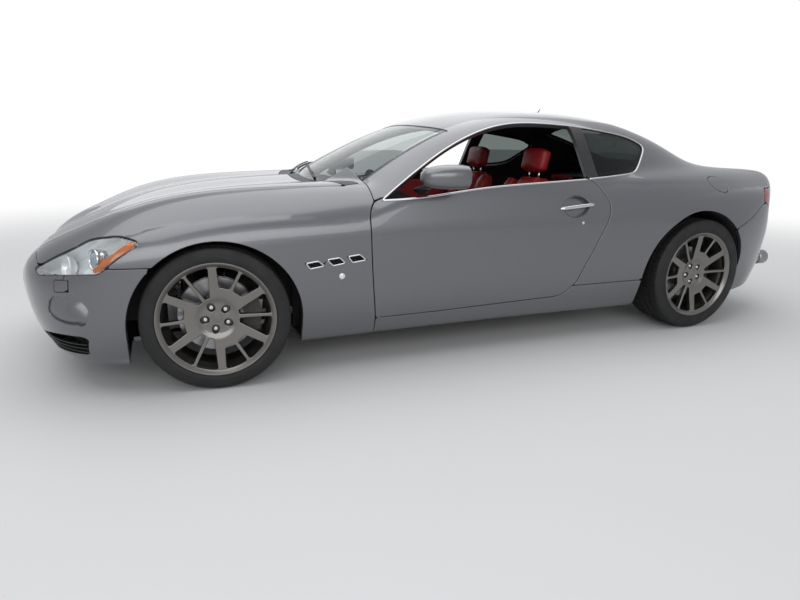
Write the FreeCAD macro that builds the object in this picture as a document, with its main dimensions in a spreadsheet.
import FreeCAD, Part
import math
import os

V = FreeCAD.Vector
doc = FreeCAD.newDocument("coupe")

# Driving sizes, in millimetres and degrees
SIZES = [
    ("Wheelbase", 2942, "between the axles"),
    ("FrontOverhang", 873, "front axle to nose"),
    ("RearOverhang", 1066, "rear axle to tail"),
    ("BodyWidth", 1915, "over the rear haunches"),
    ("RoofHeight", 1353, "ground to roof"),
    ("FrontTrack", 1586, "between front wheel centres"),
    ("RearTrack", 1590, "between rear wheel centres"),
    ("FrontTyreRadius", 340, "outer radius"),
    ("RearTyreRadius", 353, "outer radius"),
    ("FrontTyreWidth", 245, "section width"),
    ("RearTyreWidth", 285, "section width"),
    ("FrontRimWidth", 232, "over the rim flanges"),
    ("RearRimWidth", 280, "over the rim flanges"),
    ("RimRadius", 271, "over the rim flange"),
    ("RimFaceDepth", 26, "thickness of the spokes"),
    ("HubRadius", 74, "wheel centre"),
    ("HubSet", 42, "hub face behind the outer flange"),
    ("LugCircle", 108, "diameter of the stud circle"),
    ("LugRadius", 10, "wheel bolt head"),
    ("StubRadius", 32, "stub axle"),
    ("FrontDiscRadius", 180, "brake disc"),
    ("RearDiscRadius", 165, "brake disc"),
    ("DiscThickness", 32, "brake disc"),
    ("SteerRest", 5, "front wheels turned to the right, in degrees"),
    ("KingpinOffset", 62, "kingpin inside the wheel centre"),
    ("PinRadius", 11, "ball joint pins"),
    ("FrontArchRadius", 393, "front wheel opening"),
    ("RearArchRadius", 403, "rear wheel opening"),
    ("FrontArchDepth", 490, "inner wall of a front wheel arch from the flank"),
    ("RearArchDepth", 350, "inner wall of a rear wheel arch from the flank"),
    ("LinerThickness", 4, "arch liner"),
    ("PanelDepth", 26, "wings, bonnet, bumpers and lids"),
    ("DoorDepth", 110, "whole door"),
    ("RoofDepth", 42, "roof and pillars"),
    ("GlassThickness", 5, "all windows"),
    ("ShutGap", 6, "between panels that move"),
    ("BonnetGap", 9, "round the bonnet"),
    ("SeamGap", 1, "between fixed panels"),
    ("SeatGap", 0.3, "between a part and its seat"),
    ("FloorHeight", 170, "underside of the floor"),
    ("FloorThickness", 26, "floor panel"),
    ("EngineLength", 560, "engine with its gearbox bell"),
    ("EngineWidth", 560, "engine over both banks"),
    ("EngineHeight", 430, "engine from sump to covers"),
    ("RadiatorWidth", 660, "radiator core"),
    ("RadiatorHeight", 310, "radiator core"),
    ("RadiatorThickness", 48, "radiator core"),
]
sheet = doc.addObject("Spreadsheet::Sheet", "Sizes")
for row, (name, value, note) in enumerate(SIZES, start=1):
    sheet.set(f"A{row}", name)
    sheet.set(f"B{row}", str(value))
    sheet.set(f"C{row}", note)
    sheet.setAlias(f"B{row}", name)
doc.recompute()


def size(name):
    return float(getattr(sheet, name))


# The drawing's own coordinates are mapped onto the driving sizes, so that every
# station, outline and fitting follows a change of wheelbase, overhang, width or roof.
DRAWN_FRONT_AXLE = 1567.5
DRAWN_REAR_AXLE = -1374.5
DRAWN_FRONT_OVERHANG = 873.0
DRAWN_REAR_OVERHANG = 1066.0
DRAWN_WIDTH = 1915.0
DRAWN_ROOF = 1353.0
DRAWN_BELT = 950.0
NOSE_X = (size("FrontOverhang") + size("Wheelbase") + size("RearOverhang")) / 2
TAIL_X = -NOSE_X
FRONT_AXLE_X = NOSE_X - size("FrontOverhang")
REAR_AXLE_X = TAIL_X + size("RearOverhang")


def along(x):
    if x >= DRAWN_FRONT_AXLE:
        return FRONT_AXLE_X + (x - DRAWN_FRONT_AXLE) * size("FrontOverhang") / DRAWN_FRONT_OVERHANG
    if x <= DRAWN_REAR_AXLE:
        return REAR_AXLE_X + (x - DRAWN_REAR_AXLE) * size("RearOverhang") / DRAWN_REAR_OVERHANG
    drawn = DRAWN_FRONT_AXLE - DRAWN_REAR_AXLE
    return REAR_AXLE_X + (x - DRAWN_REAR_AXLE) * size("Wheelbase") / drawn


def across(y):
    return y * size("BodyWidth") / DRAWN_WIDTH


def upward(z):
    if z <= DRAWN_BELT:
        return z
    return DRAWN_BELT + (z - DRAWN_BELT) * (size("RoofHeight") - DRAWN_BELT) / (DRAWN_ROOF - DRAWN_BELT)


def at(x, y, z):
    return V(along(x), across(y), upward(z))


# Plain building steps
def feature(name, shape):
    made = doc.addObject("Part::Feature", name)
    made.Label = name
    made.Shape = shape
    return made


def solid_of(shape):
    """The solids of a result, as one solid or a compound of solids."""
    solids = [part for part in shape.Solids if part.Volume > 1.0]
    if len(solids) == 1:
        return solids[0]
    return Part.makeCompound(solids)


def largest(shape):
    return max(shape.Solids, key=lambda part: part.Volume)


def mirrored(shape):
    return shape.mirror(V(0, 0, 0), V(0, 1, 0))


def path_wire(points):
    """A closed outline: a pair of points is an arc's middle and end, a single one a corner."""
    edges = []
    start = points[0]
    for step in points[1:]:
        if isinstance(step, tuple):
            edges.append(Part.Arc(start, step[0], step[1]).toShape())
            start = step[1]
        else:
            edges.append(Part.LineSegment(start, step).toShape())
            start = step
    if (start - points[0]).Length > 0.01:
        edges.append(Part.LineSegment(start, points[0]).toShape())
    return Part.Wire(edges)


def prism(points, reach, grow=0.0):
    """Extrudes a closed outline; grow widens it all round for a gap."""
    face = Part.Face(path_wire(points))
    if grow:
        face = face.makeOffset2D(grow)
    return face.extrude(reach)


def side_points(outline, y):
    return [tuple(at(x, y, z) for x, z in zip(step[::2], step[1::2])) if len(step) == 4
            else at(step[0], y, step[1]) for step in outline]


def plan_points(outline, z):
    return [tuple(V(along(x), across(y), z) for x, y in zip(step[::2], step[1::2])) if len(step) == 4
            else V(along(step[0]), across(step[1]), z) for step in outline]


def side_prism(outline, inner, outer, grow=0.0):
    """An outline in the side view, pushed from the inner to the outer half width."""
    return prism(side_points(outline, inner), V(0, across(outer - inner), 0), grow)


def plan_prism(outline, low, high, grow=0.0):
    return prism(plan_points(outline, low), V(0, 0, high - low), grow)


def block(x0, x1, y0, y1, z0, z1):
    low = at(x0, y0, z0)
    high = at(x1, y1, z1)
    return Part.makeBox(high.x - low.x, high.y - low.y, high.z - low.z, low)


def three_quarters(edge):
    return edge.valueAt(edge.FirstParameter + 0.75 * (edge.LastParameter - edge.FirstParameter))


def one_quarter(edge):
    return edge.valueAt(edge.FirstParameter + 0.25 * (edge.LastParameter - edge.FirstParameter))


def bend_at(before, corner, after, share=0.46):
    """The tangent arc that turns a corner: its start, its edge and its end."""
    back = before - corner
    ahead = after - corner
    run = share * min(back.Length, ahead.Length)
    back.normalize()
    ahead.normalize()
    half = back.getAngle(ahead) / 2
    start = corner + back * run
    end = corner + ahead * run
    if math.pi / 2 - half < 0.004:
        return start, Part.LineSegment(start, end).toShape(), end
    inward = back + ahead
    inward.normalize()
    middle = corner + inward * (run * (1 - math.sin(half)) / math.cos(half))
    return start, Part.Arc(start, middle, end).toShape(), end


def half_wire(top, corners, bottom):
    """The left half of a symmetric section: arcs and straight runs, closed on the centre plane."""
    first = corners[0]
    crown = bend_at(V(first.x, -first.y, first.z), top, first)
    peak = crown[1].valueAt((crown[1].FirstParameter + crown[1].LastParameter) / 2)
    edges = [Part.Arc(peak, three_quarters(crown[1]), crown[2]).toShape()]
    last = crown[2]
    for before, corner, after in zip([top] + corners, corners, corners[1:] + [bottom]):
        start, bend, end = bend_at(before, corner, after)
        edges.append(Part.LineSegment(last, start).toShape())
        edges.append(bend)
        last = end
    edges.append(Part.LineSegment(last, bottom).toShape())
    edges.append(Part.LineSegment(bottom, peak).toShape())
    return Part.Wire(edges)


# Lower body: half widths and heights at each station, from nose to tail.
# x, centre height, height half way to the crest, crest half width, crest height,
# half widths at the sill, at 300, 450, 620 mm and at the shoulder, sill height
BODY = [
    (2450, 548, 545, 500, 530, 800, 840, 860, 860, 800, 320),
    (2400, 600, 597, 560, 585, 800, 845, 872, 872, 815, 235),
    (2300, 658, 652, 620, 640, 810, 865, 890, 895, 830, 168),
    (2130, 732, 724, 665, 722, 820, 875, 902, 907, 840, 148),
    (1900, 828, 814, 705, 816, 830, 885, 912, 918, 862, 140),
    (1567.5, 907, 889, 735, 886, 835, 890, 920, 926, 893, 160),
    (1200, 938, 918, 755, 907, 835, 885, 912, 920, 897, 168),
    (700, 950, 937, 780, 917, 835, 880, 900, 908, 890, 172),
    (0, 953, 945, 795, 934, 836, 876, 897, 906, 892, 174),
    (-700, 970, 960, 800, 956, 840, 883, 908, 922, 912, 172),
    (-1374.5, 1010, 992, 775, 966, 848, 900, 938, 957.5, 938, 160),
    (-1750, 1022, 1005, 725, 968, 840, 885, 925, 945, 915, 172),
    (-2050, 1003, 990, 665, 962, 800, 850, 892, 910, 872, 215),
    (-2250, 984, 974, 620, 954, 760, 815, 862, 880, 830, 280),
    (-2460, 952, 942, 585, 930, 660, 740, 795, 815, 770, 350),
]
FLANK_HEIGHTS = (300.0, 450.0, 620.0)
FLANK_SHARES = (0.70, 0.42, 0.18)
CREST_SLOPE = 0.46
# Plan outline of both ends: the nose and tail arcs and the corner arcs
NOSE_FLAT = (2387, 534)
NOSE_CORNER = (2213, 800)
NOSE_SIDE = (1905, 928)
TAIL_FLAT = (-2386, 500)
TAIL_CORNER = (-2150, 785)
TAIL_SIDE = (-1830, 945)
OUTER_SIDE = 1010


def flank_width(widths, sill, z):
    """Half width of the flank at a height, between the named heights."""
    low_z, low_w = sill, widths[0]
    for high_z, high_w in zip(FLANK_HEIGHTS + (830.0,), widths[1:]):
        if z <= high_z:
            return low_w + (high_w - low_w) * (z - low_z) / (high_z - low_z)
        low_z, low_w = high_z, high_w
    return widths[-1]


def plan_ends(inset):
    """Plan outline that trims the left half of the nose and tail, moved inward by inset."""

    def end(point, way, drawn):
        return V(along(point[0]) - way * inset, across(point[1]) - inset * drawn, 0)

    nose = V(NOSE_X - inset, 0, 0)
    tail = V(TAIL_X + inset, 0, 0)
    nose_flat = end(NOSE_FLAT, 1, 0.2)
    tail_flat = end(TAIL_FLAT, -1, 0.2)
    nose_bow = Part.Arc(V(nose_flat.x, -nose_flat.y, 0), nose, nose_flat).toShape()
    tail_bow = Part.Arc(tail_flat, tail, V(tail_flat.x, -tail_flat.y, 0)).toShape()
    outline = [
        V(0, 0, 0), nose, (three_quarters(nose_bow), nose_flat),
        (end(NOSE_CORNER, 0.7, 0.7), end(NOSE_SIDE, 0.2, 1)),
        V(along(1400), across(OUTER_SIDE), 0), V(along(-1500), across(OUTER_SIDE), 0),
        end(TAIL_SIDE, -0.2, 1), (end(TAIL_CORNER, -0.7, 0.7), tail_flat),
        (one_quarter(tail_bow), tail),
    ]
    return prism(outline, V(0, 0, 1200))


def body_section(row, inset):
    """The left half of one section of the lower body."""
    x, centre, inner, crest_y, crest_z, sill_y, low, mid, high, shoulder, sill_z = row
    shoulder_z = crest_z - CREST_SLOPE * (shoulder - crest_y)
    half = [(crest_y * 0.5, inner - inset), (crest_y - inset * 0.3, crest_z - inset)]
    half.append((shoulder - inset * 0.8, shoulder_z - inset * 0.6))
    for part in FLANK_SHARES:
        z = sill_z + part * (shoulder_z - sill_z)
        half.append((flank_width((sill_y, low, mid, high, shoulder), sill_z, z) - inset, z))
    half.append((sill_y - inset, sill_z + inset))
    corners = [V(along(x), across(y), z) for y, z in half]
    return half_wire(V(along(x), 0, centre - inset), corners, V(along(x), 0, sill_z + inset))


def lower_body(inset):
    loft = Part.makeLoft([body_section(row, inset) for row in BODY], True, False)
    return largest(loft.common(plan_ends(inset)))


# Greenhouse: roof height, a point of the roof's crown, the rail and the belt at each station
# x, centre height, half width and height of the crown, of the rail and of the belt
GLASSHOUSE = [
    (1120, 860, 330, 850, 560, 800, 700, 700),
    (1000, 938, 360, 920, 600, 855, 760, 720),
    (850, 1023, 360, 1000, 620, 915, 820, 745),
    (650, 1120, 360, 1097, 625, 1015, 836, 800),
    (400, 1222, 350, 1203, 620, 1110, 846, 850),
    (100, 1309, 340, 1295, 610, 1212, 852, 870),
    (-400, 1353, 340, 1341, 600, 1270, 852, 880),
    (-800, 1338, 335, 1323, 585, 1238, 835, 890),
    (-1150, 1280, 325, 1260, 555, 1160, 800, 895),
    (-1500, 1168, 315, 1140, 520, 1040, 720, 890),
    (-1750, 1060, 300, 1030, 480, 960, 640, 860),
    (-1950, 960, 290, 930, 430, 880, 560, 800),
]
GLASSHOUSE_FLOOR = 640


def glasshouse_section(row, inset):
    x, centre, crown_y, crown_z, rail_y, rail_z, belt_y, belt_z = row
    half = [
        (crown_y - inset * 0.1, crown_z - inset),
        (rail_y - inset * 0.6, rail_z - inset * 0.6),
        (belt_y - inset, belt_z),
        (belt_y - inset + 10, GLASSHOUSE_FLOOR),
    ]
    corners = [V(along(x), across(y), upward(z)) for y, z in half]
    return half_wire(V(along(x), 0, upward(centre - inset)), corners, V(along(x), 0, GLASSHOUSE_FLOOR))


def glasshouse(inset):
    return Part.makeLoft([glasshouse_section(row, inset) for row in GLASSHOUSE], True, False)


# Outlines in the side view (x, z), each arc as its middle and its end
DOOR = [
    (800, 262), (828, 540, 834, 763), (818, 815, 778, 856), (-492, 952),
    (-530, 925, -590, 850), (-648, 790, -632, 740), (-560, 560, -465, 400),
    (-430, 345, -330, 293), (450, 265),
]
SIDE_WINDOW = [
    (735, 885), (520, 1002, 441, 1046), (200, 1178, -79, 1252), (-280, 1268, -500, 1246), (-520, 968),
]
QUARTER_WINDOW = [
    (-575, 972), (-560, 1238), (-760, 1225, -940, 1172), (-1045, 1120, -1010, 1050),
    (-940, 985, -780, 984),
]
BUMPER_SEAM_REAR = [
    (-1640, 640), (-1773, 698), (-1914, 781), (-2240, 800), (-2700, 800), (-2700, 60), (-1560, 60),
]
FRONT_BUMPER = [(1890, 600), (2310, 602), (2330, 655), (2700, 655), (2700, 40), (1890, 40)]
# Outlines in plan (x, y)
BONNET = [
    (2345, -20), (2345, 0), (2340, 250, 2318, 500), (2235, 560), (1940, 625), (1560, 655, 1180, 690),
    (905, 728), (1030, 400, 1050, 0), (1050, -20),
]
WINDSCREEN = [
    (985, -20), (985, 0), (955, 400, 842, 660), (560, 610, 262, 555), (315, 300, 330, 0), (330, -20),
]
REAR_WINDOW = [
    (-1085, -20), (-1085, 0), (-1095, 250, -1130, 470), (-1400, 455, -1690, 410), (-1790, 250, -1815, 0),
    (-1815, -20),
]
BOOT_LID = [
    (-1885, -20), (-1885, 0), (-1890, 280, -1905, 560), (-2150, 585, -2500, 545), (-2500, -20),
]

# Panels of the body, made on the left half
def whole(half):
    """A piece that crosses the centre plane, from its left half."""
    return half.fuse(mirrored(half))


def one_side(shape, side):
    """The left piece as drawn, or its mirror image for the right."""
    return shape if side > 0 else mirrored(shape)


HANDS = ((1, "left"), (-1, "right"))
made = {}


def add(name, shape):
    made[name] = feature(name, solid_of(shape))


FAR = 1100
FAR_X = 2700
BODY_SPAN = (40, 1300)
GLASS_SPAN = (700, 1600)
BONNET_SPAN = (480, 1100)
BOOT_SPAN = (655, 1100)
HINGE_PILLAR_X = 796
DOOR_REACH_X = 834
SPLIT_Y = 530
DECK_Y = 520
shut = size("ShutGap")
seam = size("SeamGap")
outer = lower_body(0)
inner = lower_body(size("PanelDepth"))
front = outer.common(block(HINGE_PILLAR_X, FAR_X, 0, FAR, *BODY_SPAN)).cut(inner)
rear = outer.common(block(-FAR_X, DOOR_REACH_X, 0, FAR, *BODY_SPAN)).cut(inner)


def arch_opening(axle_x, centre_z, radius, arch_depth):
    """The opening of one wheel arch on the left."""
    depth = arch_depth + 60
    y_out = across(DRAWN_WIDTH / 2) + 60
    round_part = Part.makeCylinder(radius, depth, V(axle_x, y_out, centre_z), V(0, -1, 0))
    low = Part.makeBox(2 * radius, depth, centre_z, V(axle_x - radius, y_out - depth, 0))
    return round_part.fuse(low)


FRONT_ARCH_X = FRONT_AXLE_X + 7.5
REAR_ARCH_X = REAR_AXLE_X + 33
FRONT_ARCH_Z = 312
REAR_ARCH_Z = 359
ARCHES = {
    "front": (FRONT_ARCH_X, FRONT_ARCH_Z, size("FrontArchRadius"), size("FrontArchDepth")),
    "rear": (REAR_ARCH_X, REAR_ARCH_Z, size("RearArchRadius"), size("RearArchDepth")),
}
front_arch = arch_opening(*ARCHES["front"])
rear_arch = arch_opening(*ARCHES["rear"])

bonnet_prism = plan_prism(BONNET, *BONNET_SPAN)
bonnet_hole = plan_prism(BONNET, *BONNET_SPAN, size("BonnetGap"))
boot_prism = plan_prism(BOOT_LID, *BOOT_SPAN)
boot_hole = plan_prism(BOOT_LID, BOOT_SPAN[0] - shut, BOOT_SPAN[1], shut)
DOOR_OUTER_Y = 905
DOORWAY_Y = 500
door_prism = side_prism(DOOR, DOOR_OUTER_Y - size("DoorDepth"), FAR)
door_hole = side_prism(DOOR, DOORWAY_Y, FAR, shut)
add("bonnet", whole(largest(front.common(bonnet_prism))))
add("boot_lid", whole(largest(rear.common(boot_prism))))
front = front.cut(front_arch).cut(bonnet_hole)
rear = rear.cut(rear_arch).cut(boot_hole)
GRILLE = [(0, 290), (250, 292), (372, 322, 400, 420), (375, 515, 260, 548), (0, 552)]
MIDDLE_INTAKE = [(0, 150), (280, 150), (298, 178, 300, 222), (0, 226)]
SIDE_INTAKE = [(478, 182), (660, 192), (706, 214, 690, 250), (640, 268, 560, 268), (478, 250, 478, 182)]
LOUVRES = (170, 198, 226)
LOUVRE_HEIGHT = 8
LAMP = [
    (2312, 606), (2290, 634, 2075, 712), (2000, 728, 1930, 716), (1893, 702, 1903, 678),
    (1955, 630, 2060, 568), (2200, 548, 2300, 572), (2316, 585, 2312, 606),
]
TAIL_LAMP = [(-2150, 850), (-2180, 720), (-2350, 680), (-2700, 690), (-2700, 850)]
TAIL_LAMP_Y = 540
LAMP_INNER_Y = 480


def front_points(outline, x):
    return [tuple(V(x, across(y), z) for y, z in zip(step[::2], step[1::2])) if len(step) == 4
            else V(x, across(step[0]), step[1]) for step in outline]


grille_hole = prism(front_points(GRILLE, along(2150)), V(400, 0, 0))
louvres = Part.makeCompound([block(2000, 2700, 0, 720, z, z + LOUVRE_HEIGHT) for z in LOUVRES])
intakes = [prism(front_points(hole, along(2000)), V(700, 0, 0)).cut(louvres)
           for hole in (MIDDLE_INTAKE, SIDE_INTAKE)]
lamp_hole = side_prism(LAMP, LAMP_INNER_Y - 10, FAR, seam)
bumper = front.common(side_prism(FRONT_BUMPER, -10, FAR))
bumper = largest(bumper.cut(grille_hole).cut(Part.makeCompound(intakes)).cut(lamp_hole))
add("front_bumper", whole(bumper))
wing = front.common(block(HINGE_PILLAR_X, FAR_X, SPLIT_Y, FAR, *BODY_SPAN))
wing = largest(wing.cut(side_prism(FRONT_BUMPER, -FAR, FAR, seam)).cut(door_hole).cut(lamp_hole))
VENT_FLOOR_Y = 901
VENTS = [
    [(1169, 586), (1103, 593), (1070, 563), (1145, 552)],
    [(1065, 597), (996, 602), (966, 570), (1031, 561)],
    [(958, 605), (892, 611), (858, 578), (931, 571)],
]
wing = largest(wing.cut(Part.makeCompound([side_prism(vent, VENT_FLOOR_Y, FAR) for vent in VENTS])))
FLOOR_EDGE = 640
DECK_X = -1580
tail_lamp_hole = side_prism(TAIL_LAMP, TAIL_LAMP_Y - 8, FAR, seam)
TAIL_OPENING = block(-2300, -900, 0, 660, 40, 440)
PIPE_Y = 600
PIPE_Z = 352
PIPE_RADIUS = 44
PIPE_WALL = 3
PIPE_HOLE = 52
rear_bumper = rear.common(side_prism(BUMPER_SEAM_REAR, -10, FAR)).cut(tail_lamp_hole).cut(TAIL_OPENING)
pipe_hole = Part.makeCylinder(PIPE_HOLE, 500, V(TAIL_X - 40, across(PIPE_Y), PIPE_Z), V(1, 0, 0))
rear_bumper = largest(rear_bumper.cut(pipe_hole))
add("rear_bumper", whole(rear_bumper))
flank = rear.common(block(-FAR_X, HINGE_PILLAR_X - seam, DECK_Y, FAR, *BODY_SPAN))
flank = flank.cut(side_prism(BUMPER_SEAM_REAR, -FAR, FAR, seam)).cut(tail_lamp_hole)
flank = flank.cut(door_hole).cut(block(-497, 860, 400, FAR, 850, 1400))
flank = largest(flank.cut(block(DECK_X, 900, 0, FLOOR_EDGE, *BODY_SPAN)))
deck = largest(rear.common(block(-1950, DECK_X, 0, DECK_Y - seam, 600, 1300)))
add("rear_deck", whole(deck))

# Pillars, roof and windows
glass_outer = glasshouse(0)
WINDOW_INNER_Y = 300
GLASS_SET = 4
side_window = side_prism(SIDE_WINDOW, WINDOW_INNER_Y, FAR)
quarter_window = side_prism(QUARTER_WINDOW, WINDOW_INNER_Y, FAR)
windscreen_prism = plan_prism(WINDSCREEN, *GLASS_SPAN)
rear_prism = plan_prism(REAR_WINDOW, *GLASS_SPAN)
outer_clear = lower_body(-size("SeatGap"))
above_belt = glass_outer.cut(outer_clear)
roof = above_belt.cut(glasshouse(size("RoofDepth"))).cut(windscreen_prism).cut(rear_prism)
roof = largest(roof.cut(side_window).cut(quarter_window).cut(door_hole).cut(bonnet_hole))
add("roof", whole(roof))
pane = glasshouse(GLASS_SET).cut(glasshouse(GLASS_SET + size("GlassThickness")))
fit = -size("SeatGap")
pane = pane.cut(outer_clear)
windscreen = largest(pane.common(plan_prism(WINDSCREEN, *GLASS_SPAN, fit)))
add("windscreen", whole(windscreen))
rear_window = largest(pane.common(plan_prism(REAR_WINDOW, *GLASS_SPAN, fit)))
add("rear_window", whole(rear_window))
quarter_glass = largest(pane.common(side_prism(QUARTER_WINDOW, WINDOW_INNER_Y, FAR, fit)))
HANDLE = [(-289, 782), (-276, 796, -289, 812), (-505, 829), (-518, 813, -505, 799)]
HANDLE_Y = (917, 931)
HANDLE_FEET = ((-302, 797), (-490, 812))
FOOT_RADIUS = 9
FOOT_Y = 880
HAND_SPACE = [
    (-325, 775), (-400, 752, -470, 786), (-480, 812, -470, 838), (-400, 862, -325, 828),
    (-310, 802, -325, 775),
]
HAND_SPACE_Y = 893
door = outer.common(door_prism).cut(side_prism(HAND_SPACE, HAND_SPACE_Y, FAR))
foot_length = across(HANDLE_Y[0] - FOOT_Y)
feet = [Part.makeCylinder(FOOT_RADIUS, foot_length, at(x, FOOT_Y, z), V(0, 1, 0)) for x, z in HANDLE_FEET]
door = largest(door.fuse([side_prism(HANDLE, *HANDLE_Y)] + feet))
LAMP_DEPTH = [(2420, 470), (2255, 470), (2130, 600), (1885, 760), (1885, 1000), (2420, 1000)]
lamp_body = outer.common(side_prism(LAMP, LAMP_INNER_Y, FAR))
lamp_body = largest(lamp_body.common(plan_prism(LAMP_DEPTH, 400, 900)).cut(bonnet_hole))
tail_body = largest(outer.common(side_prism(TAIL_LAMP, TAIL_LAMP_Y, FAR)).cut(inner).cut(boot_hole))
for side, hand in HANDS:
    add("wing_" + hand, one_side(wing, side))
    add("body_side_" + hand, one_side(flank, side))
    add("quarter_glass_" + hand, one_side(quarter_glass, side))
    add("door_" + hand, one_side(door, side))
    add("headlamp_" + hand, one_side(lamp_body, side))
    add("tail_lamp_" + hand, one_side(tail_body, side))

# Fuel flap: a thin disc of the left rear shoulder, square to the skin there
FUEL_POINT = (-1560, 838, 934)
FUEL_RADIUS = 76
FLAP_THICKNESS = 4
FLAP_LINE = V(0, 0.42, 0.908)
flap_start = at(*FUEL_POINT) - FLAP_LINE * 60
flap_core = Part.makeCylinder(FUEL_RADIUS, 120, flap_start, FLAP_LINE).common(outer)
flap_inside = flap_core.copy()
flap_inside.translate(FLAP_LINE * -FLAP_THICKNESS)
add("fuel_flap", largest(flap_core.cut(flap_inside)))
flap_hole = Part.makeCylinder(FUEL_RADIUS + shut, 120, flap_start, FLAP_LINE)
made["body_side_left"].Shape = largest(made["body_side_left"].Shape.cut(flap_hole))

# Recess for the rear plate
PLATE = (530, 115)
PLATE_Z = 795
PLATE_DEPTH = 20
recess_corner = V(TAIL_X - 60, -PLATE[0] / 2, PLATE_Z - PLATE[1] / 2)
recess = Part.makeBox(PLATE_DEPTH + 60, *PLATE, recess_corner)
made["boot_lid"].Shape = largest(made["boot_lid"].Shape.cut(recess))

# Grille: a frame in the opening and upright bars
GRILLE_BARS = 19
BAR_WIDTH = 7
GRILLE_DEPTH = 100
GRILLE_RING = 16
BAR_SET_BACK = 45
CROSS_BAR = (8, 14)
CROSS_Z = 424
GRILLE_X = NOSE_X - GRILLE_DEPTH
outline = front_points(GRILLE, GRILLE_X)
reach = V(GRILLE_DEPTH, 0, 0)
ring = prism(outline, reach, -size("SeatGap")).cut(prism(outline, reach, -GRILLE_RING))
ring = ring.common(plan_ends(0))
inside = prism(outline, reach, -GRILLE_RING + 0.1).common(plan_ends(BAR_SET_BACK))
ring = ring.fuse(mirrored(ring))
inside = inside.fuse(mirrored(inside))
pitch = 2 * across(390) / (GRILLE_BARS + 1)
first_bar = -(GRILLE_BARS - 1) / 2 * pitch - BAR_WIDTH / 2
bars = [Part.makeBox(GRILLE_DEPTH, BAR_WIDTH, 320, V(GRILLE_X, first_bar + i * pitch, 270))
        for i in range(GRILLE_BARS)]
cross = Part.makeBox(CROSS_BAR[0], 2 * across(400), CROSS_BAR[1], V(GRILLE_X, -across(400), CROSS_Z))
grille = ring.fuse([bar.common(inside) for bar in bars] + [cross.common(inside)])
add("grille", largest(grille))


# Wheels: local axis along Y, outboard side at +Y
SPOKE_STEP = 30
FORK_CENTRES = (28, 148, 268)
THICK_HALF = (17, 19)
THIN_HALF = (9, 10)
FORK_WEB_RADIUS = 118
HUB_DEPTH = 44
JOINT_ROOM = 0.05
LUGS = 5
LUG_TURN = -26
BELL_RADIUS = 86
BEAD_GAP = 0.4
BULGE_SHARE = 0.55
SHOULDER_WIDTH = 20
FLANGE_HEIGHT = 19
FLANGE_WIDTH = 9
BARREL_WALL = 8
HAT_DEPTH = 30


def ring_profile(points):
    """Revolves a closed (y, r) profile about the wheel's axis."""
    wire = Part.makePolygon([V(r, y, 0) for y, r in points] + [V(points[0][1], points[0][0], 0)])
    return Part.Face(wire).revolve(V(0, 0, 0), V(0, 1, 0), 360)


def clock(radius, angle, y=0.0):
    """A point at a clock angle from the top, turning rearward on the left wheel."""
    turn = math.radians(angle)
    return V(-radius * math.sin(turn), y, radius * math.cos(turn))


def spoke(angle, halves):
    aim = clock(1, angle)
    wide = V(aim.z, 0, -aim.x)
    root = aim * 20
    tip = aim * size("RimRadius")
    near, far = wide * halves[0], wide * halves[1]
    points = [root + near, tip + far, tip - far, root - near]
    return Part.Face(Part.makePolygon(points + [points[0]])).extrude(V(0, 400, 0))


def wheel(rim_width, disc_radius):
    half = rim_width / 2
    rim = size("RimRadius")
    face = half - size("HubSet")
    back = face - HUB_DEPTH
    seat = rim - FLANGE_HEIGHT
    barrel = ring_profile([
        (half, rim), (half - FLANGE_WIDTH, rim), (half - FLANGE_WIDTH - 4, seat),
        (-half + FLANGE_WIDTH + 4, seat), (-half + FLANGE_WIDTH, rim), (-half, rim),
        (-half + 6, seat - BARREL_WALL), (half - 6, seat - BARREL_WALL),
    ])
    spokes = []
    for centre in FORK_CENTRES:
        for step, halves in ((-1, THICK_HALF), (0, THIN_HALF), (1, THICK_HALF), (2, THIN_HALF)):
            spokes.append(spoke(centre + step * SPOKE_STEP, halves))
        web = [V(0, 0, 0)] + [clock(FORK_WEB_RADIUS, centre + way * SPOKE_STEP) for way in (-1, 1)]
        spokes.append(Part.Face(Part.makePolygon(web + [web[0]])).extrude(V(0, 400, 0)))
    centre_disc = Part.makeCylinder(size("HubRadius"), 400, V(0, 0, 0), V(0, 1, 0))
    star = centre_disc.fuse(spokes)
    thick = size("RimFaceDepth")
    joint = seat - BARREL_WALL / 2
    band = ring_profile([
        (back, 0), (back, size("HubRadius")), (half - 14 - thick, joint), (half - 14, joint),
        (face + 2, size("HubRadius")), (face, size("HubRadius") - 20), (face, 0),
    ])
    body = band.common(star).fuse(barrel)
    disc_out = back - HAT_DEPTH
    disc_in = disc_out - size("DiscThickness")
    hub_bore = size("StubRadius") + 2
    disc = ring_profile([
        (back, hub_bore), (back, BELL_RADIUS), (disc_out, BELL_RADIUS), (disc_out, disc_radius),
        (disc_in, disc_radius), (disc_in, BELL_RADIUS - BARREL_WALL),
        (back - BARREL_WALL, BELL_RADIUS - BARREL_WALL), (back - BARREL_WALL, hub_bore),
    ])
    body = body.fuse(disc)
    stub_room = size("StubRadius") + JOINT_ROOM
    body = body.cut(Part.makeCylinder(stub_room, 90, V(0, back - 60, 0), V(0, 1, 0)))
    lug_points = [clock(size("LugCircle") / 2, LUG_TURN + 360 / LUGS * i, face - 4) for i in range(LUGS)]
    lugs = [Part.makeCylinder(size("LugRadius"), 12, point, V(0, 1, 0)) for point in lug_points]
    return largest(body.fuse(lugs)), back


def tyre(rim_width, width, radius):
    """A low tyre: bead, bulging side and tread, in six faces."""
    bead = size("RimRadius") + BEAD_GAP
    bulge = bead + (radius - bead) * BULGE_SHARE
    profile = [(-rim_width / 2 + 2, bead), (-width / 2, bulge), (-width / 2 + SHOULDER_WIDTH, radius)]
    profile += [(-y, r) for y, r in reversed(profile)]
    return ring_profile(profile)


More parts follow.
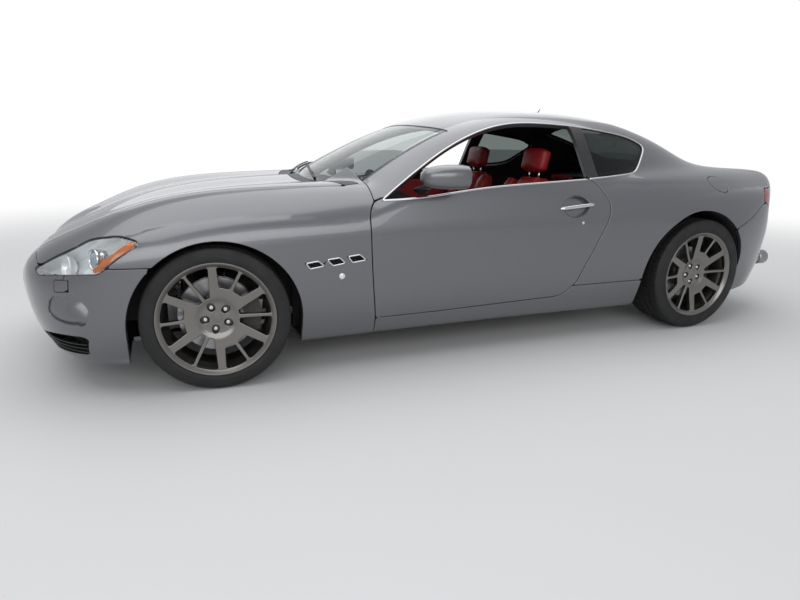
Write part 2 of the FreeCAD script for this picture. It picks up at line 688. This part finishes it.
AXLES = {
    "front": (FRONT_AXLE_X, size("FrontTrack") / 2, size("FrontTyreRadius"), size("FrontTyreWidth"),
              size("FrontRimWidth"), size("FrontDiscRadius")),
    "rear": (REAR_AXLE_X, size("RearTrack") / 2, size("RearTyreRadius"), size("RearTyreWidth"),
             size("RearRimWidth"), size("RearDiscRadius")),
}
KINGPIN_Y = size("FrontTrack") / 2 - size("KingpinOffset")
KINGPIN = V(FRONT_AXLE_X, KINGPIN_Y, 0)
STEER = -size("SteerRest")


def steered(shape, side):
    """Turns a piece about its own kingpin to the parked steering angle."""
    turned = shape.copy()
    turned.rotate(V(KINGPIN.x, side * KINGPIN.y, 0), V(0, 0, 1), STEER)
    return turned


hub_backs = {}
for end, (axle_x, half_track, radius, width, rim_width, disc_radius) in AXLES.items():
    whole_wheel, hub_backs[end] = wheel(rim_width, disc_radius)
    whole_tyre = tyre(rim_width, width, radius)
    for side, hand in HANDS:
        for name, shape in (("wheel_", whole_wheel), ("tyre_", whole_tyre)):
            placed = shape.copy()
            placed.translate(V(axle_x, half_track, radius))
            placed = one_side(placed, side)
            if end == "front":
                placed = steered(placed, side)
            add(name + end + "_" + hand, placed)


POST_REACH = 150
POST = (64, 36)
PIN_LENGTH = 42
CALLIPER_WRAP = 26
CALLIPER_SIDE = 22
DISC_ROOM = 6


def upright(end):
    """Knuckle of a left wheel: upright, stub axle, calliper and ball joint pins."""
    axle_x, half_track, radius, width, rim_width, disc_radius = AXLES[end]
    pin_y = half_track - size("KingpinOffset")
    back = hub_backs[end]
    disc_in = half_track + back - HAT_DEPTH - size("DiscThickness")
    post_corner = V(axle_x - POST[0] / 2, pin_y - POST[1] / 2, radius - POST_REACH)
    post = Part.makeBox(*POST, 2 * POST_REACH, post_corner)
    stub_length = half_track + back + 24 - pin_y
    stub = Part.makeCylinder(size("StubRadius"), stub_length, V(axle_x, pin_y, radius), V(0, 1, 0))
    pieces = [stub]
    for z in (radius - POST_REACH - PIN_LENGTH, radius + POST_REACH):
        pieces.append(Part.makeCylinder(size("PinRadius"), PIN_LENGTH, V(axle_x, pin_y, z)))
    caliper_y = disc_in - CALLIPER_SIDE
    reach_y = size("DiscThickness") + 2 * CALLIPER_SIDE
    ring = Part.makeCylinder(disc_radius + CALLIPER_WRAP, reach_y, V(axle_x, caliper_y, radius), V(0, 1, 0))
    ring = ring.cut(Part.makeCylinder(disc_radius - 58, reach_y, V(axle_x, caliper_y, radius), V(0, 1, 0)))
    sector = Part.makeBox(200, reach_y, 190, V(axle_x - 240, caliper_y, radius - 95))
    room_start = V(axle_x, disc_in - DISC_ROOM, radius)
    room_width = size("DiscThickness") + 2 * DISC_ROOM
    room = Part.makeCylinder(disc_radius + DISC_ROOM, room_width, room_start, V(0, 1, 0))
    calliper = ring.common(sector).cut(room)
    bracket = Part.makeBox(disc_radius - 20, 20, 60, V(axle_x - disc_radius + 10, disc_in - 34, radius - 30))
    return largest(post.fuse(pieces + [calliper, bracket]))


ARM_SIZE = 26


def arm(start, end, thick):
    """A straight square bar between two points."""
    line = end - start
    flat = V(-line.y, line.x, 0)
    flat.normalize()
    flat = flat * (thick / 2)
    down = V(0, 0, -thick / 2)
    points = [start + flat + down, start - flat + down, start - flat - down, start + flat - down]
    return Part.Face(Part.makePolygon(points + [points[0]])).extrude(line)


EYE_WALL = 12
ARM_LEVEL = POST_REACH + 24
ARM_REACH = 345
LOW_SPREAD = 130
HIGH_SPREAD = 105
BEAM_REACH = 320
BEAM_WIDTH = 60
BEAM_DROP = 195
CROSS_MEMBER = (310, 60)


def wishbone(axle_x, pin_y, z, spread, pin_room):
    """A ring round the ball joint pin and two bars to the pivots on the subframe."""
    eye = Part.makeCylinder(size("PinRadius") + EYE_WALL, ARM_SIZE, V(axle_x, pin_y, z - ARM_SIZE / 2))
    bars = [arm(V(axle_x, pin_y, z), V(axle_x + way * spread, pin_y - ARM_REACH, z), ARM_SIZE)
            for way in (-1, 1)]
    bore = Part.makeCylinder(size("PinRadius") + pin_room, ARM_SIZE * 2, V(axle_x, pin_y, z - ARM_SIZE))
    return eye.fuse(bars).cut(bore)


def suspension(end, top, pin_room):
    """Left half of a subframe with its two wishbones."""
    axle_x, half_track, radius, width, rim_width, disc_radius = AXLES[end]
    pin_y = half_track - size("KingpinOffset")
    low = wishbone(axle_x, pin_y, radius - ARM_LEVEL, LOW_SPREAD, pin_room)
    high = wishbone(axle_x, pin_y, radius + ARM_LEVEL, HIGH_SPREAD, pin_room)
    beam_y = pin_y - BEAM_REACH
    foot = radius - BEAM_DROP
    corners = [V(axle_x + way * HIGH_SPREAD - BEAM_WIDTH / 2, beam_y - 50, foot) for way in (-1, 1)]
    posts = [Part.makeBox(BEAM_WIDTH, BEAM_WIDTH, top - foot, corner) for corner in corners]
    long, tall = CROSS_MEMBER
    cross = Part.makeBox(long, beam_y + 10, tall, V(axle_x - long / 2, 0, radius - POST_REACH - tall))
    return low.fuse([high, cross] + posts)


RAIL_Z = 548
knuckle = upright("front")
for side, hand in HANDS:
    add("knuckle_" + hand, steered(one_side(knuckle, side), side))
ENGINE_X = 930
ENGINE_Z = 255
front_half = suspension("front", RAIL_Z - size("SeatGap"), JOINT_ROOM)
MOUNT_X = 1425
MOUNT_Y = 180
MOUNT_SIDE = 60
cross_top = AXLES["front"][2] - POST_REACH
mount_height = ENGINE_Z - size("SeatGap") - cross_top
mount_box = Part.makeBox(MOUNT_SIDE, MOUNT_SIDE, mount_height, V(along(MOUNT_X), MOUNT_Y, cross_top))
add("front_suspension", whole(largest(front_half.fuse(mount_box))))
TRAY_Z = 545
rear_half = suspension("rear", TRAY_Z - size("SeatGap"), -1).fuse(upright("rear"))
axle = AXLES["rear"]
HOUSING = (260, 130, 240)
SHAFT_RADIUS = 20
housing = Part.makeBox(*HOUSING, V(REAR_AXLE_X - HOUSING[0] / 2, 0, axle[2] - HOUSING[2] / 2))
shaft_length = axle[1] - size("KingpinOffset") - HOUSING[1]
shaft_start = V(REAR_AXLE_X, HOUSING[1], axle[2])
half_shaft = Part.makeCylinder(SHAFT_RADIUS, shaft_length, shaft_start, V(0, 1, 0))
add("rear_suspension", whole(largest(rear_half.fuse([housing, half_shaft]))))


# Arch liners: a half tube behind the arch edge and an inner wall open for the arms
STEERING_ROOM = 34
LINER_TUCK = {"front": STEERING_ROOM, "rear": 4}
liner_space = lower_body(size("PanelDepth") + size("SeatGap"))
liner_space = liner_space.fuse(block(-2300, 2300, 0, 700, 160, 700))


def liner(axle_x, centre_z, radius, arch_depth, tuck):
    gap = size("SeatGap") + tuck
    thick = size("LinerThickness")
    y_in = across(DRAWN_WIDTH / 2) - arch_depth
    tube = Part.makeCylinder(radius + gap + thick, arch_depth, V(axle_x, y_in, centre_z), V(0, 1, 0))
    hollow = Part.makeCylinder(radius + gap, arch_depth, V(axle_x, y_in + thick, centre_z), V(0, 1, 0))
    window = Part.makeCylinder(radius * 0.68, 60, V(axle_x, y_in - 20, centre_z), V(0, 1, 0))
    low = centre_z - 60 + radius
    below = Part.makeBox(3 * radius, arch_depth + 40, low, V(axle_x - 1.5 * radius, y_in - 20, -radius))
    return tube.cut(hollow).cut(window).cut(below)


for end, arch in ARCHES.items():
    shell = largest(liner(*arch, LINER_TUCK[end]).common(liner_space))
    add("arch_liners_" + end, Part.makeCompound([shell, mirrored(shell)]))

# Floor: flat under the cabin, raised behind the rear seats, lower under the boot
floor_z = size("FloorHeight")
sheet_z = size("FloorThickness")
edge = across(FLOOR_EDGE) - size("SeatGap")
narrow = across(520)
REAR_STEP_X = -1180
BOOT_FLOOR_Z = 430
BOOT_STEP_X = -1750
BOOT_END_X = -2330


def floor_box(x0, x1, half_width, z0, z1):
    return Part.makeBox(along(x1) - along(x0), 2 * half_width, z1 - z0, V(along(x0), -half_width, z0))


floor = floor_box(-905, 790, edge, floor_z, floor_z + sheet_z)
floor = floor.fuse([
    floor_box(REAR_STEP_X, 1000, narrow, floor_z, floor_z + sheet_z),
    floor_box(REAR_STEP_X - sheet_z, REAR_STEP_X, narrow, floor_z, TRAY_Z + sheet_z),
    floor_box(BOOT_STEP_X, REAR_STEP_X, narrow, TRAY_Z, TRAY_Z + sheet_z),
])
boot_step = along(BOOT_STEP_X) - size("SeatGap")
boot_wall = Part.makeBox(sheet_z, 2 * narrow, TRAY_Z + sheet_z - BOOT_FLOOR_Z,
                         V(boot_step - sheet_z, -narrow, BOOT_FLOOR_Z))
boot_tray = Part.makeBox(boot_step - along(BOOT_END_X), 2 * narrow, sheet_z,
                         V(along(BOOT_END_X), -narrow, BOOT_FLOOR_Z))
add("boot_floor", boot_tray.fuse(boot_wall))
JACK_POINTS = (900, -850)
JACK_Y = 470
PAD = (70, 16)
pads = [Part.makeBox(PAD[0], PAD[0], PAD[1],
                     V(along(x) - PAD[0] / 2, side * across(JACK_Y) - PAD[0] / 2, floor_z - PAD[1]))
        for x in JACK_POINTS for side in (1, -1)]
firewall = block(850, 876, -620, 620, 196, 800)
RAIL_HEIGHT = 62
RAIL_NOSE = 2290
rail_y = KINGPIN_Y - BEAM_REACH - 50
rail_x = along(870)
rails = [Part.makeBox(along(RAIL_NOSE) - rail_x, BEAM_WIDTH, RAIL_HEIGHT, V(rail_x, y, RAIL_Z))
         for y in (rail_y, -rail_y - BEAM_WIDTH)]
BEAM_DEPTH = 40
beam_corner = V(along(RAIL_NOSE) - BEAM_DEPTH, -rail_y - BEAM_DEPTH / 2, RAIL_Z)
bumper_beam = Part.makeBox(BEAM_DEPTH, 2 * rail_y + BEAM_DEPTH, RAIL_HEIGHT, beam_corner)
add("floor_pan", largest(floor.fuse(pads + [firewall, bumper_beam] + rails)))
cowl = largest(front.common(block(HINGE_PILLAR_X, 1060, 0, SPLIT_Y - seam, 600, 1300)))
add("cowl", whole(cowl))


# Engine and radiator: blocks whose sides are tied to the sizes sheet
def sized_block(name, sides, corner):
    item = doc.addObject("Part::Box", name)
    item.Label = name
    for prop, alias in zip(("Length", "Width", "Height"), sides):
        item.setExpression(prop, "Sizes." + alias)
    item.Placement.Base = corner
    made[name] = item


sized_block("engine_block", ("EngineLength", "EngineWidth", "EngineHeight"),
            V(along(ENGINE_X), -size("EngineWidth") / 2, ENGINE_Z))
radiator_z = RAIL_Z - size("SeatGap") - size("RadiatorHeight")
sized_block("radiator", ("RadiatorThickness", "RadiatorWidth", "RadiatorHeight"),
            V(along(RAIL_NOSE) - 44, -size("RadiatorWidth") / 2, radiator_z))

# Exhaust: a silencer under the boot floor and two tail pipes on each side
SILENCER = (300, 340, 118)
silencer_z = BOOT_FLOOR_Z - size("SeatGap") - SILENCER[2]
silencer = Part.makeBox(*SILENCER, V(along(-2180), across(290), silencer_z))
pipe = Part.makeCylinder(PIPE_RADIUS, 240, V(along(-2395), across(PIPE_Y), PIPE_Z), V(1, 0, 0))
bore = Part.makeCylinder(PIPE_RADIUS - PIPE_WALL, 150, V(along(-2396), across(PIPE_Y), PIPE_Z), V(1, 0, 0))
exhaust = largest(silencer.fuse(pipe).cut(bore))
add("exhaust", Part.makeCompound([exhaust, mirrored(exhaust)]))

# Dashboard, console, steering wheel and seats
DASHBOARD = [(849.7, 560), (849.7, 850), (700, 905, 520, 850), (455, 790, 470, 640), (560, 560)]
dashboard = side_prism(DASHBOARD, -700, 700)
console = block(-330, 600, -115, 115, 196 + 0.3, 470)
add("dashboard", largest(dashboard.fuse(console)))
SEAT_Y = 370
DRIVER_Y = -SEAT_Y
WHEEL_X = 335
WHEEL_Z = 770
COLUMN_FALL = 0.36
GRIP_RADIUS = 15
GRIP_CIRCLE = 182
CENTRE_PAD = (62, 34)
COLUMN_POST = (34, 175)
column = V(1, 0, -COLUMN_FALL)
hub_point = V(along(WHEEL_X), across(DRIVER_Y), WHEEL_Z)
rim_profile = [(GRIP_RADIUS * math.sin(turn), GRIP_CIRCLE + GRIP_RADIUS * math.cos(turn))
               for turn in (math.radians(60 * i) for i in range(6))]
rim_ring = ring_profile(rim_profile)
rim_ring.rotate(V(0, 0, 0), V(0, 0, 1), -90)
rim_ring.rotate(V(0, 0, 0), V(0, 1, 0), math.degrees(math.atan(COLUMN_FALL)))
rim_ring.translate(hub_point)
centre_pad = Part.makeCylinder(*CENTRE_PAD, hub_point, column)
post = Part.makeCylinder(*COLUMN_POST, hub_point, column)
SPOKE_ENDS = ((172, 0), (-172, 0), (0.01, -165))
bars = [arm(hub_point, hub_point + V(COLUMN_FALL * dz, dy, dz), 20) for dy, dz in SPOKE_ENDS]
column_seat = made["dashboard"].Shape.copy()
column_seat.translate(V(-size("SeatGap"), 0, 0))
steering = rim_ring.fuse([centre_pad, post] + bars).cut(column_seat)
add("steering_wheel", largest(steering))
SEAT = [
    (185, 196.3), (215, 400), (120, 455, -215, 400), (-300, 620, -395, 900), (-440, 950, -505, 930),
    (-420, 600, -310, 330), (-290, 196.3),
]
HEADREST = [(-410, 985), (-395, 1060, -430, 1120), (-500, 1130, -525, 1075), (-530, 1010, -500, 965)]
REAR_SEAT = [
    (-640, 196.3), (-625, 420), (-680, 480, -960, 430), (-1050, 680, -1130, 905), (-1180, 940, -1235, 905),
    (-1110, 196.3),
]
SEAT_HALF = 255
HEADREST_HALF = 130
STEM_SIZE = 14
seat = side_prism(SEAT, SEAT_Y - SEAT_HALF, SEAT_Y + SEAT_HALF)
headrest = side_prism(HEADREST, SEAT_Y - HEADREST_HALF, SEAT_Y + HEADREST_HALF)
stems = [arm(at(-455, SEAT_Y + dy, 900), at(-465, SEAT_Y + dy, 1010), STEM_SIZE) for dy in (-50, 50)]
seat = seat.fuse([headrest] + stems)
for side, hand in HANDS:
    add("seat_" + hand, one_side(largest(seat), side))
BENCH_SPAN = (40, 510)
bench = side_prism(REAR_SEAT, *BENCH_SPAN)
add("rear_seat", Part.makeCompound([bench, mirrored(bench)]))

# Door mirrors on a foot at the front of each door
MIRROR = [
    # x, inner and outer half width, low and high edge, corner radius
    (352, 882, 1022, 930, 1032, 34),
    (372, 876, 1026, 923, 1039, 42),
    (470, 877, 1024, 922, 1040, 46),
    (555, 890, 1000, 932, 1026, 40),
    (588, 912, 972, 948, 1004, 24),
]


def rounded_section(x, y0, y1, z0, z1, radius):
    """A rounded rectangle across the car at one x."""
    cut = radius * (1 - math.sqrt(0.5))

    def spot(y, z):
        return V(along(x), across(y), upward(z))

    return path_wire([
        spot(y0 + radius, z0), spot(y1 - radius, z0), (spot(y1 - cut, z0 + cut), spot(y1, z0 + radius)),
        spot(y1, z1 - radius), (spot(y1 - cut, z1 - cut), spot(y1 - radius, z1)),
        spot(y0 + radius, z1), (spot(y0 + cut, z1 - cut), spot(y0, z1 - radius)),
        spot(y0, z0 + radius), (spot(y0 + cut, z0 + cut), spot(y0 + radius, z0)),
    ])


shell = Part.makeLoft([rounded_section(*row) for row in MIRROR], True, False)
mirror_seat = made["door_left"].Shape.copy()
mirror_seat.translate(V(0, 0, size("SeatGap")))
foot = side_prism([(600, 868), (560, 935), (480, 935), (500, 880)], 838, 905).cut(mirror_seat)
mirror = largest(shell.fuse(foot))
for side, hand in HANDS:
    add("mirror_" + hand, one_side(mirror, side))

os.makedirs("parts", exist_ok=True)
doc.recompute()
bad = [name for name, item in made.items()
       if {"Invalid", "Error"} & set(item.State) or item.Shape.isNull() or not item.Shape.isValid()]
if bad:
    raise RuntimeError("not sound: " + ", ".join(bad))
for name, item in made.items():
    item.Shape.exportStep("parts/" + name + ".step")
    print(name, round(item.Shape.Volume / 1e6, 2), len(item.Shape.Solids), len(item.Shape.Faces))
